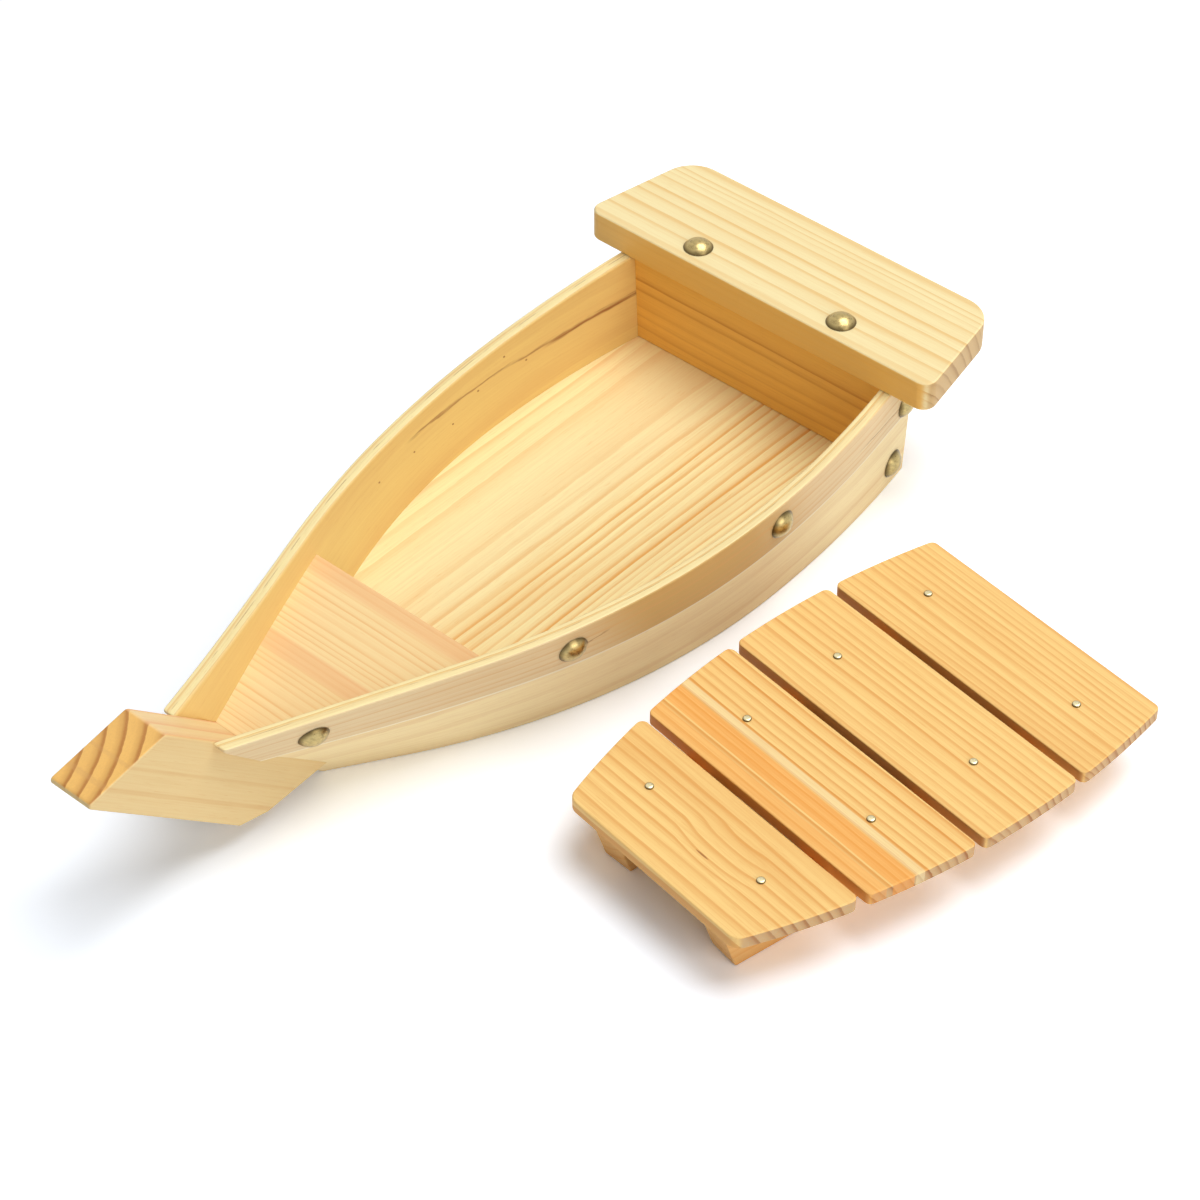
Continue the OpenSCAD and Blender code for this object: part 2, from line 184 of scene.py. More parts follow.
class Finishes(bpy.types.PropertyGroup):
    """Colours of the pine and the brass."""
    cream: tint("Cream pine", "Pale early wood of the floor", (0.97, 0.83, 0.43))
    cream_line: tint("Cream late wood", "Late wood of the floor", (0.78, 0.38, 0.09))
    pale: tint("Pale pine", "Early wood of the platform", (0.92, 0.78, 0.43))
    pale_line: tint("Pale late wood", "Late wood of the platform", (0.78, 0.47, 0.15))
    straw: tint("Straw pine", "Early wood of the port plank", (0.95, 0.78, 0.44))
    oat: tint("Oat pine", "Early wood of the stem", (0.79, 0.59, 0.28))
    straw_line: tint("Straw late wood", "Late wood of the planks and the strakes", (0.66, 0.36, 0.13))
    tan: tint("Tan pine", "Early wood of the strakes", (0.79, 0.62, 0.36))
    # Painted shade: the darker warm band in the middle of each strake stands for the shade and warm bounce
    # from the deck beside it.
    painted_shade_middle: tint("Toasted pine", "Warm middle of the strakes", (0.55, 0.34, 0.10))
    butt: tint("Slat ends", "End grain of the slats", (0.58, 0.39, 0.20))
    ochre: tint("Ochre pine", "Early wood of the starboard plank", (0.82, 0.59, 0.205))
    peach: tint("Peach pine", "Early wood of the bow deck", (0.93, 0.69, 0.34))
    peach_line: tint("Peach late wood", "Late wood of the bow deck", (0.84, 0.50, 0.20))
    honey: tint("Honey pine", "Early wood of the slats", (0.94, 0.635, 0.235))
    honey_line: tint("Honey late wood", "Late wood of the slats", (0.72, 0.31, 0.06))
    amber: tint("Amber pine", "Early wood of the transom", (0.95, 0.55, 0.12))
    amber_line: tint("Amber late wood", "Late wood of the transom", (0.62, 0.26, 0.05))
    ember: tint("Ember pine", "Warm end grain of the stem head", (0.94, 0.55, 0.15))
    ember_line: tint("Ember late wood", "Dark year rings of the stem", (0.47, 0.18, 0.035))
    # Painted shade: the runners are coloured darker than the slats for the shade under the deck.
    painted_shade_runner: tint("Russet pine", "Early wood of the runners", (0.80, 0.46, 0.16))
    heart: tint("Heartwood", "Broad orange streaks", (0.90, 0.34, 0.045))
    rose: tint("Rose wood", "Pinkish streaks of the bow deck", (0.86, 0.48, 0.22))
    pitch: tint("Pitch", "Dark pitch in cracks and pockets", (0.28, 0.09, 0.025))
    # Painted highlight: the pale line along the lower eased edge of each strake, where it catches light, is
    # painted with this colour.
    painted_highlight: tint("Chalk", "Pale line of filler under the strakes", (0.96, 0.88, 0.66))
    # Painted shade: the fore faces of the slats seen in the gaps between them get this dark brown for the
    # shade in the gaps.
    edge: tint("Slat edges", "Sawn edges between the slats", (0.46, 0.20, 0.06))
    cut: tint("End grain", "Wood on the sawn ends", (0.54, 0.34, 0.15))
    cut_line: tint("End grain rings", "Year rings on the sawn ends", (0.30, 0.15, 0.055))
    brass: tint("Brass", "Polished brass of the tack heads", (0.50, 0.38, 0.16))
    bright: tint("Bright brass", "Bright brass of the brads", (0.74, 0.66, 0.40))
    tarnish: tint("Tarnish", "Aged brass in the low places", (0.13, 0.09, 0.035))


class StageSettings(bpy.types.PropertyGroup):
    """Floor, lamps and camera."""
    eye: FloatVectorProperty(name="Camera place", description="Where the camera stands", size=3,
                             default=(0.7097, 0.6113, 0.8314), subtype="XYZ", unit="LENGTH")
    heading: angle("Camera heading", "Direction from the boat to the camera", 41.4007)
    tilt: angle("Camera tilt", "Downward tilt of the camera", 42.7953)
    lens: amount("Lens", "Focal length in millimetres on a 36 mm sensor", 104.63)
    floor: tint("Floor", "Colour of the floor", (0.92, 0.93, 0.95))
    gain: tint("Floor gain", "Diffuse white added to the floor as the camera sees it", (0.26, 0.31, 0.38))
    fill: amount("Fill", "Strength of the light from all round", 0.26)
    key: amount("Key lamp", "Power of the large overhead lamp in watts", 52.0)
    side: amount("Side lamp", "Power of the large lamp on the port side in watts", 33.0)


class BoatSettings(bpy.types.PropertyGroup):
    """All settings of the sushi boat."""
    hull: PointerProperty(type=HullSizes)
    deck: PointerProperty(type=DeckSizes)
    nails: PointerProperty(type=NailSizes)
    look: PointerProperty(type=Finishes)
    stage: PointerProperty(type=StageSettings)


# Lines of the hull and the deck

def lerp(a, b, t):
    return a + (b - a) * t


def spread(a, b, n):
    return [lerp(a, b, i / n) for i in range(n + 1)]


def facing(place, way):
    """Placing at a point, with Z along a direction."""
    return Matrix.Translation(place) @ way.to_track_quat("Z", "Y").to_matrix().to_4x4()


class Lines:
    """Lines of the hull and the deck, worked out from the sizes."""

    def __init__(self, boat):
        h, d, n = boat.hull, boat.deck, boat.nails
        self.h, self.d, self.n = h, d, n
        self.aft = -h.aft_len
        self.ref = h.side_h + REF_RISE
        self.low_x = LOW_WAIST
        self.stem_half = h.stem_t / 2
        tip_half = self.stem_half + TIP_PROUD
        toe_half = h.plank_t / cos(h.bow_low) + TOE_GAP
        self.tip = (h.curve_top * sin(h.bow_top)
                    + (h.beam_top - h.curve_top * (1 - cos(h.bow_top)) - tip_half) / tan(h.bow_top))
        self.toe = (self.low_x + h.curve_low * sin(h.bow_low)
                    + (h.beam_low - h.curve_low * (1 - cos(h.bow_low)) - toe_half) / tan(h.bow_low))
        self.face = self.aft + h.transom_t + TRANSOM_INSET
        self.platform_x = self.face + PLATFORM_LAP
        self.platform_z = h.side_h + (self.platform_x - h.sheer_x) ** 2 / (2 * h.sheer_aft)
        self.bow_deck_z = h.side_h - h.bow_deck_drop
        self.stern_tack_x = self.aft + n.tack_d / 2 + STERN_TACK_IN
        self.tack_short = h.strake_t + h.plank_t - SHANK_SPARE
        self.deck_len = h.bow_deck_x - self.face - 2 * d.end_clear
        self.deck_half = h.beam_top - h.plank_t - d.side_clear
        self.deck_waist = -(h.bow_deck_x + self.face) / 2
        self.slat_w = (self.deck_len - 3 * d.slat_gap) / 4
        self.runner_mid = self.deck_half - d.inset
        self.deck_y = h.beam_top + h.strake_t + d.apart + self.deck_half
        self.deck = (Matrix.Translation((d.x, self.deck_y, 0)) @ Matrix.Rotation(d.turn, 4, "Z"))

    @staticmethod
    def plan(x, b, aft, fore, x0, limit):
        """Half breadth at x: two arcs that meet at x0, then straight from the angle limit."""
        xt = x0 + fore * sin(limit)
        if x > xt:
            return b - fore * (1 - cos(limit)) - tan(limit) * (x - xt)
        r = aft if x < x0 else fore
        return b - r + sqrt(r * r - (x - x0) ** 2)

    def side(self, s, z, o):
        """Point of the port side: s from the aft end to the stem, o outwards."""
        h, k = self.h, z / self.ref
        xt, xb = lerp(self.aft, self.tip, s), lerp(self.aft, self.toe, s)
        yt = self.plan(xt, h.beam_top + o, h.curve_top_aft + o, h.curve_top + o, 0, h.bow_top)
        yb = self.plan(xb, h.beam_low + o, h.curve_low_aft + o, h.curve_low + o, self.low_x, h.bow_low)
        return Vector((lerp(xb, xt, k), lerp(yb, yt, k), z))

    def side_s(self, x, z):
        """Station of the side at x and the height z."""
        return (x - self.aft) / (lerp(self.toe, self.tip, z / self.ref) - self.aft)

    def normal(self, s, z):
        """Outward direction of the port side."""
        ds, dz = 0.004, 0.001
        back = self.side(s - ds, z, 0) - self.side(s + ds, z, 0)
        return back.cross(self.side(s, z + dz, 0) - self.side(s, z - dz, 0)).normalized()

    def sheer(self, x):
        """Height of the sheer at x."""
        h = self.h
        if x > h.sheer_x:
            return h.side_h + (x - h.sheer_x) ** 2 / (2 * h.sheer_fore)
        return min(h.side_h + (x - h.sheer_x) ** 2 / (2 * h.sheer_aft), self.platform_z) - h.glue

    def top(self, s):
        """Height of the top edge at the station s."""
        z = self.h.side_h
        for _ in range(6):
            z = self.sheer(self.side(s, z, 0).x)
        return z

    def stem_back(self, z):
        return self.toe + (z - self.h.forefoot_z) / tan(self.h.stem_rake)

    def stem_front(self, z):
        return self.stem_back(z) + self.h.stem_w / sin(self.h.stem_rake)

    def run_out(self, z, o):
        """Last station of a side row before it meets the cheek of the stem."""
        cheek = self.stem_half + self.h.glue
        if z < self.h.forefoot_z or self.side(1, z, o).y > cheek:
            return 1.0
        a, b = 0.8, 1.0
        for _ in range(30):
            m = (a + b) / 2
            a, b = (m, b) if self.side(m, z, o).y > cheek else (a, m)
        return a

    def slat_u(self, i):
        return (1.5 - i) * (self.slat_w + self.d.slat_gap)

    def deck_v(self, u):
        """Half breadth of the deck at u along it."""
        r = self.d.curve
        return self.deck_half - r + sqrt(r * r - (u - self.deck_waist) ** 2)

    def on_side(self, x, z, o):
        """Placing on the port side with Z along the normal of the face."""
        s = self.side_s(x, z)
        return facing(self.side(s, z, o), self.normal(s, z))


# Shaping

def rounded(points, radii, n=8):
    """Outline through points, each corner rounded to its radius."""
    out = []
    for i, p in enumerate(points):
        p, r = Vector(p), radii[i]
        if r <= 0:
            out.append(p)
            continue
        a = (Vector(points[i - 1]) - p).normalized()
        b = (Vector(points[(i + 1) % len(points)]) - p).normalized()
        half = acos(max(-1, min(1, a.dot(b)))) / 2
        c = p + (a + b).normalized() * (r / sin(half))
        p0, p1 = p + a * (r / tan(half)) - c, p + b * (r / tan(half)) - c
        a0 = atan2(p0.y, p0.x)
        sweep = (atan2(p1.y, p1.x) - a0 + pi) % (2 * pi) - pi
        out += [c + Vector((cos(a0 + sweep * k / n), sin(a0 + sweep * k / n))) * r for k in range(n + 1)]
    return out


def quarter(r, steps=4):
    """Quarter round of radius r, as steps of (in from the side, in from the top)."""
    return [(r * (1 - sin(k * pi / 2 / steps)), r * (1 - cos(k * pi / 2 / steps)))
            for k in range(steps + 1)]


def eased_rows(lo, hi, r):
    """Rows of (inset, height) from lo to hi, with both edges rounded to r."""
    edge = quarter(r)
    return [(i, lo + w) for i, w in edge] + [(i, hi - w) for i, w in reversed(edge)]


def shrink(outline, d):
    """Outline moved inwards by d."""
    area = sum(p.x * q.y - q.x * p.y for p, q in zip(outline, outline[1:] + outline[:1]))
    k = d if area > 0 else -d
    out = []
    for i, p in enumerate(outline):
        a = (p - outline[i - 1]).normalized()
        b = (outline[(i + 1) % len(outline)] - p).normalized()
        m = (Vector((-a.y, a.x)) + Vector((-b.y, b.x))).normalized()
        out.append(p + m * (k / max(0.3, m.dot(Vector((-a.y, a.x))))))
    return out


class Piece:
    """Points, wood coordinates and faces of one piece."""

    def __init__(self):
        self.points, self.grain, self.faces = [], [], []

    def ring(self, points, grain):
        """Add points with their wood coordinates, and give their numbers."""
        first = len(self.points)
        self.points += [tuple(p) for p in points]
        self.grain += [tuple(g) for g in grain]
        return list(range(first, len(self.points)))

    def loft(self, rings):
        """Faces between each ring and the next."""
        for a, b in zip(rings, rings[1:]):
            for i in range(len(a)):
                j = (i + 1) % len(a)
                self.faces.append((a[i], a[j], b[j], b[i]))

    def ladder(self, ring):
        """Close a ring whose two halves run up one face and down the other."""
        n = len(ring)
        for k in range(n // 2 - 1):
            self.faces.append((ring[k], ring[k + 1], ring[n - 2 - k], ring[n - 1 - k]))

    def prism(self, outline, lo, hi, ease, place, grain):
        """Upright prism with rounded edges; place and grain take (u, v, w)."""
        rings = []
        for inset, w in eased_rows(lo, hi, ease):
            flat = shrink(outline, inset) if inset > 1e-7 else outline
            rings.append(self.ring([place(p.x, p.y, w) for p in flat], [grain(p.x, p.y, w) for p in flat]))
        self.loft(rings)
        self.faces += [tuple(rings[0]), tuple(rings[-1])]

    def turned(self, profile, place, n=48):
        """Turned form from a profile of (radius, height), both ends on the axis."""
        rings = []
        for r, z in profile:
            local = [(r * cos(2 * pi * k / n), r * sin(2 * pi * k / n), z) for k in range(n)]
            rings.append(self.ring([place @ Vector(p) for p in local], local))
        self.loft(rings)
        self.faces += [tuple(rings[0]), tuple(rings[-1])]

    def make(self, node, stuff, body, slot, finish, sharp=38):
        """Turn the piece into an object that stands for its solid."""
        name = "%s_%s" % (node, stuff)
        mesh = bpy.data.meshes.new(name)
        mesh.from_pydata(self.points, [], self.faces)
        grain = mesh.attributes.new("grain", "FLOAT_VECTOR", "POINT")
        grain.data.foreach_set("vector", [c for g in self.grain for c in g])
        bm = bmesh.new()
        bm.from_mesh(mesh)
        bmesh.ops.remove_doubles(bm, verts=bm.verts, dist=1e-6)
        bmesh.ops.recalc_face_normals(bm, faces=bm.faces)
        bm.to_mesh(mesh)
        bm.free()
        if not mesh.polygons:
            raise RuntimeError("no faces in " + name)
        mesh.shade_smooth()
        mesh.set_sharp_from_angle(angle=radians(sharp))
        mesh.materials.append(finish)
        obj = bpy.data.objects.new(name, mesh)
        bpy.context.scene.collection.objects.link(obj)
        obj.modifiers.new("even_faces", "WEIGHTED_NORMAL").keep_sharp = True
        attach(obj, body)
        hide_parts(node)


# Shader sheets

def paired(operation):
    """An operator and its reflected form, one Math node each."""
    def plain(a, b):
        return a.sheet.node("ShaderNodeMath", {"operation": operation}, {0: a, 1: b})

    def reflected(a, b):
        return a.sheet.node("ShaderNodeMath", {"operation": operation}, {0: b, 1: a})

    return plain, reflected


class Wire:
    """Socket of a node that takes part in plain arithmetic."""
    __add__, __radd__ = paired("ADD")
    __sub__, __rsub__ = paired("SUBTRACT")
    __mul__, __rmul__ = paired("MULTIPLY")
    __truediv__, __rtruediv__ = paired("DIVIDE")
    __pow__, __rpow__ = paired("POWER")

    def __init__(self, sheet, socket):
        self.sheet, self.socket = sheet, socket

    def __abs__(self):
        return self.sheet.node("ShaderNodeMath", {"operation": "ABSOLUTE"}, {0: self})


class Sheet:
    """Node tree of one material or of the world."""

    def __init__(self, owner):
        owner.use_nodes = True
        self.tree = owner.node_tree
        self.tree.nodes.clear()

    def node(self, kind, settings=None, inputs=None, out=0):
        """Add a node: its settings first, then the values or links of its sockets."""
        node = self.tree.nodes.new(kind)
        for key, value in (settings or {}).items():
            if key == "stops":
                ramp = node.color_ramp
                while len(ramp.elements) < len(value):
                    ramp.elements.new(0.5)
                for stop, (place, level) in zip(ramp.elements, value):
                    stop.position = place
                    stop.color = (level, level, level, 1)
            else:
                setattr(node, key, value)
        for key, value in (inputs or {}).items():
            if isinstance(value, Wire):
                self.tree.links.new(value.socket, node.inputs[key])
            else:
                node.inputs[key].default_value = value
        return Wire(self, node.outputs[out] if node.outputs else None)

    def vector(self, operation, a, b, out=0):
        return self.node("ShaderNodeVectorMath", {"operation": operation}, {0: a, 1: b}, out)

    def split(self, v):
        """The three values of a vector."""
        node = self.node("ShaderNodeSeparateXYZ", None, {0: v}).socket.node
        return [Wire(self, o) for o in node.outputs]

    def noise(self, v, detail=2.0, rough=0.5):
        return self.node("ShaderNodeTexNoise", {"noise_dimensions": "3D"},
                         {"Vector": v, "Scale": 1.0, "Detail": detail, "Roughness": rough})

    def swing(self, value):
        """Noise along one value."""
        return self.node("ShaderNodeTexNoise", {"noise_dimensions": "1D"},
                         {"W": value, "Scale": 1.0, "Detail": 1.0})

    def ease(self, value, a, b, lo=0.0, hi=1.0):
        """Smooth step from lo at a to hi at b."""
        return self.node("ShaderNodeMapRange", {"interpolation_type": "SMOOTHSTEP"},
                         {"Value": value, "From Min": a, "From Max": b, "To Min": lo, "To Max": hi})

    def ramp(self, value, stops):
        return self.node("ShaderNodeValToRGB", {"stops": stops}, {0: value})

    def blend(self, factor, a, b):
        """Mix of two colours."""
        return self.node("ShaderNodeMix", {"data_type": "RGBA", "clamp_factor": True},
                         {0: factor, 6: a, 7: b}, 2)

    def fract(self, value):
        return self.node("ShaderNodeMath", {"operation": "FRACT"}, {0: value})

    def seen(self):
        """One where the camera looks straight, through clear things or by a gloss, else nought."""
        rays = self.node("ShaderNodeLightPath").socket.node.outputs
        camera, gloss, clear = [Wire(self, rays["Is %s Ray" % k])
                                for k in ("Camera", "Glossy", "Transmission")]
        return camera + gloss + clear

    def output(self, shader, kind="ShaderNodeOutputMaterial"):
        self.node(kind, None, {"Surface": shader})


def paint(colour):
    return (*colour, 1.0)


def pine(name, look, early, late, pith, ring, depth=0.8, wander=0.004, seed=0.0, tilt=0.0, sway=2.5,
         phase=0.0, even=0.4, share=0.37, flows=(), bands=(), streaks=(), cracks=(), specks=(),
         seam=None, faces=(), fibre=0.2, cloud=0.25):
    """Solid pine: year rings about a pith line, with fibres.

    flows of (along, across, long, broad, push) push the rings aside. bands across the wood (here
    painted shade) and streaks along it (grain, and once a painted highlight) are (centre, half, soft,
    shade, weight). cracks of (along, across, along, across, width, weight), specks of (along, across,
    long, broad) and the seam are dark with pitch. faces of (direction, early, late, weight) colour the
    sides that look that way: end grain on sawn ends, painted light on the tops and painted shade on
    sides turned from the lamps.
    """
    material = bpy.data.materials.new(name)
    s = Sheet(material)
    g = s.node("ShaderNodeAttribute", {"attribute_name": "grain"}, None, "Vector")
    along, across, through = s.split(g)
    g = s.vector("ADD", g, (seed, seed * 0.37, seed * 0.61))
    slow = s.noise(s.vector("MULTIPLY", g, SLOW_WAVE), 2.0, 0.45) - 0.5
    fine = s.noise(s.vector("MULTIPLY", g, FINE_WAVE), 3.0, 0.55) - 0.5
    fibres = s.noise(s.vector("MULTIPLY", g, FIBRES), 3.0, 0.65)
    flecks = s.noise(s.vector("MULTIPLY", g, FLECKS), 1.0, 0.5)
    tone = s.noise(s.vector("MULTIPLY", g, CLOUDS), 2.0, 0.5)
    a = across - pith[0] + along * tilt + slow * wander
    for x, y, long, broad, push in flows:
        u, v = (along - x) / long, (across - y) / broad
        a = a + s.ease(u * u + v * v, 1.0, 0.0) * push
    t = through - pith[1]
    r = (a * a + t * t) ** 0.5 + fine * 0.0006
    count = r / ring + s.swing(r * 55.0 + seed) * sway + phase
    line = s.ramp(s.fract(count), [(0.0, 0.0), (1 - share * 1.6, 0.05), (1 - share * 0.8, 0.4),
                                   (1 - share * 0.35, 1.0), (0.97, 0.9), (1.0, 0.0)])
    marks = line * s.ease(s.swing(r * 0.4 / ring + seed), 0.3, 0.7, even, 1.0)
    ground = paint(early)
    for centre, half, soft, shade, weight in bands:
        ground = s.blend(s.ease(abs(along - centre), half + soft, half) * weight, ground, paint(shade))
    colour = s.blend(marks * depth, ground, paint(late))
    for way, shade, rings, weight in faces:
        normal = s.node("ShaderNodeNewGeometry", None, None, "Normal")
        mask = s.ease(s.vector("DOT_PRODUCT", normal, way, "Value"), 0.7, 0.95) * weight
        colour = s.blend(mask, colour, s.blend(marks, paint(shade), paint(rings)))
    colour = s.blend(s.ease(tone, 0.45, 0.75) * cloud, colour, paint(late))
    for centre, half, soft, shade, weight in streaks:
        off = abs(across - centre + slow * wander * 0.5)
        mask = s.ease(off, half + soft, half) * s.ease(fibres, 0.2, 0.7, 0.75, 1.0) * weight
        colour = s.blend(mask, colour, paint(shade))
    for a0, c0, a1, c1, width, weight in cracks:
        off = abs(across - (along - a0) * ((c1 - c0) / (a1 - a0)) - c0 + fine * 0.004)
        reach = s.ease(along, a0 - 0.004, a0 + 0.006) * s.ease(along, a1 + 0.006, a1 - 0.006)
        mask = s.ease(off, width, width * 0.2) * reach * s.ease(fibres, 0.30, 0.55, 0.35, 1.0) * weight
        colour = s.blend(mask, colour, paint(look.pitch))
    for place, height, long, broad in specks:
        x, y = (along - place) / long, (across - height) / broad
        colour = s.blend(s.ease(x * x + y * y, 1.0, 0.3) * 0.85, colour, paint(look.pitch))
    colour = s.blend(s.ease(fibres, 0.35, 0.75) * fibre, colour, paint(late))
    colour = s.blend(s.ease(flecks, 0.64, 0.78) * 0.3, colour, paint(late))
    if seam:
        dashes = s.ease(s.swing(along * 60.0 + seed), 0.50, 0.62)
        colour = s.blend(s.ease(through, seam, seam * 0.4) * dashes * 0.4, colour, paint(look.pitch))
    height = fibres * 0.6 + line * 0.25 + fine * 0.3
    bump = s.node("ShaderNodeBump", None, {"Strength": 0.35, "Distance": 0.0002, "Height": height})
    skin = s.node("ShaderNodeBsdfPrincipled", None, {
        "Base Color": colour, "Roughness": fibres * 0.16 + 0.46, "Specular IOR Level": 0.3, "Normal": bump})
    s.output(skin)
    return material


def aged_brass(name, look, metal, rim, gloss):
    """Aged brass that is brighter on the rubbed crown and tarnished towards the rim."""
    material = bpy.data.materials.new(name)
    s = Sheet(material)
    g = s.node("ShaderNodeAttribute", {"attribute_name": "grain"}, None, "Vector")
    x, y = s.split(g)[:2]
    radius = (x * x + y * y) ** 0.5
    spots = s.noise(s.vector("MULTIPLY", g, BRASS_SPOTS), 3.0, 0.6)
    lines = s.noise(s.vector("MULTIPLY", g, BRASS_LINES), 2.0, 0.5)
    worn = s.ease(radius, rim, rim * 0.72) * s.ease(spots, 0.30, 0.60, 0.6, 1.0)
    colour = s.blend(worn, paint(look.tarnish), paint(metal))
    height = lines * 0.4 + spots
    bump = s.node("ShaderNodeBump", None, {"Strength": 0.15, "Distance": 0.0001, "Height": height})
    skin = s.node("ShaderNodeBsdfPrincipled", None, {
        "Base Color": colour, "Metallic": 1.0, "Roughness": spots * 0.14 + gloss, "Normal": bump})
    s.output(skin)
    return material


# Operators

class BoatStep:
    """What the steps that make pieces share."""
    bl_options = {"REGISTER", "UNDO"}

    def execute(self, context):
        boat = context.scene.boat
        self.build(Lines(boat), boat.look)
        return {"FINISHED"}


def board(lines, levels, n, grain, node, slot, finish):
    """Board between the planks, from levels of (height, aft x, fore x, inset)."""
    h, piece, rings = lines.h, Piece(), []
    for z, x0, x1, inset in levels:
        out = -h.plank_t - h.glue - inset
        port = [lines.side(lines.side_s(x, z), z, out) for x in spread(x0, x1, n)]
        ring = port + [Vector((p.x, -p.y, p.z)) for p in reversed(port)]
        rings.append(piece.ring(ring, [grain(p) for p in ring]))
    piece.loft(rings)
    piece.ladder(rings[0])
    piece.ladder(rings[-1])
    piece.make(node, "pine", "hull", slot, finish)


class BOAT_OT_bottom_board(BoatStep, bpy.types.Operator):
    """Make the thick bottom board"""
    bl_idname = "boat.bottom_board"
    bl_label = "Bottom board"

    def build(self, lines, look):
        h, edge, knee, undercut = lines.h, 0.0004, 0.004, 0.006
        aft, top, end = lines.aft + TRANSOM_INSET, h.bottom_t, 4 * h.glue

        def fore(z):
            if z < h.forefoot_z:
                return lerp(lines.toe - undercut, lines.toe - end, z / h.forefoot_z)
            return lines.stem_back(z) - end

        levels = [(0.0, aft + edge, fore(0) - edge, edge)]
        levels += [(z, aft, fore(z), 0) for z in (edge, knee, h.forefoot_z, top - edge)]
        levels += [(top, aft + edge, fore(top), 0)]
        wood = pine("pine_floor", look, look.cream, look.cream_line, pith=(-0.030, -0.030), ring=0.0028,
                    depth=1.0, wander=0.006, seed=3.1, phase=0.4, share=0.46,
                    streaks=[(-0.038, 0.028, 0.016, look.pale, 0.6)],
                    faces=[(STERN, look.cut, look.cut_line, 0.8)])
        board(lines, levels, 60, tuple, "bottom_board", "pine_floor", wood)


class BOAT_OT_transom(BoatStep, bpy.types.Operator):
    """Make the upright board at the stern"""
    bl_idname = "boat.transom"
    bl_label = "Transom"

    def build(self, lines, look):
        h, edge = lines.h, 0.0003
        aft, fore = lines.aft + TRANSOM_INSET, lines.face
        lo, hi = h.bottom_t + h.glue, lines.platform_z - h.glue
        levels = [(lo, aft + edge, fore - edge, 0)]
        levels += [(z, aft, fore, 0) for z in spread(lo + edge, hi - edge, 6)]
        levels += [(hi, aft + edge, fore - edge, 0)]
        wood = pine("pine_transom", look, look.amber, look.amber_line, pith=(0.11, -0.13), ring=0.0060,
                    depth=0.8, wander=0.008, seed=7.7)
        board(lines, levels, 8, lambda p: (p.y, p.z, p.x), "transom", "pine_frame", wood)


class BOAT_OT_stem(BoatStep, bpy.types.Operator):
    """Make the raked stem block"""
    bl_idname = "boat.stem"
    bl_label = "Stem"

    def build(self, lines, look):
        h, toe_r, heel_r, chin_r = lines.h, 0.0009, 0.004, 0.002
        chin, nose = h.forefoot_z + h.chin_rise, h.head_z - h.head_fall
        outline = rounded([(lines.toe, h.forefoot_z), (lines.toe + h.heel_len, h.forefoot_z - h.heel_drop),
                           (lines.stem_front(chin), chin), (lines.stem_front(nose), nose),
                           (lines.stem_back(h.head_z), h.head_z)],
                          [toe_r, heel_r, chin_r, h.nose_r, h.head_r], 10)
        c, s = cos(h.stem_rake), sin(h.stem_rake)
        origin = Vector((lines.toe, h.forefoot_z))

        def grain(x, z, y):
            u, v = x - origin.x, z - origin.y
            return u * c + v * s, v * c - u * s, y

        piece = Piece()
        piece.prism(outline, -lines.stem_half, lines.stem_half, h.ease, lambda x, z, y: (x, y, z), grain)
        wood = pine("pine_stem", look, look.oat, look.straw_line, pith=(-0.038, -0.037), ring=0.0058,
                    depth=0.3, wander=0.001, seed=1.3, sway=0.1, phase=0.63, even=1.0, cloud=0.15,
                    faces=[((h.head_fall / HEAD_RUN, 0, 1), look.ember, look.ember_line, 0.95),
                           (PORT, look.oat, look.oat, 1.0),
                           (STARBOARD, look.oat, look.oat, 1.0),
                           ((-s, 0, c), look.peach, look.rose, 0.8)],
                    streaks=[(-0.0125, 0.0003, 0.0005, look.straw_line, 0.3),
                             (-0.0205, 0.0004, 0.0008, look.straw_line, 0.35)])
        piece.make("stem", "pine", "hull", "pine_frame", wood)


class BOAT_OT_bow_deck(BoatStep, bpy.types.Operator):
    """Make the small deck behind the stem"""
    bl_idname = "boat.bow_deck"
    bl_label = "Bow deck"

    def build(self, lines, look):
        h, ease = lines.h, 0.0006
        hi, lo = lines.bow_deck_z, lines.bow_deck_z - h.bow_deck_t
        levels = [(z, h.bow_deck_x + i, lines.stem_back(z) - 2 * h.glue, 0)
                  for i, z in eased_rows(lo, hi, ease)]
        wood = pine("pine_bow_deck", look, look.peach, look.peach_line, pith=(0.05, 0.12), ring=0.0021,
                    depth=0.9, wander=0.005, seed=5.9, cloud=0.4,
                    streaks=[(h.bow_deck_x + 0.003, 0.003, 0.003, look.rose, 0.7),
                             (h.bow_deck_x + 0.040, 0.003, 0.002, look.rose, 0.7)])
        board(lines, levels, 30, lambda p: (p.y, p.x, p.z), "bow_deck", "pine_deck", wood)


def painted_lit_rim(look):
    """Painted light: paler colour on the top edge of a side strip, where the light from above falls."""
    return [(UP, look.cream, look.pale_line, 0.9)]


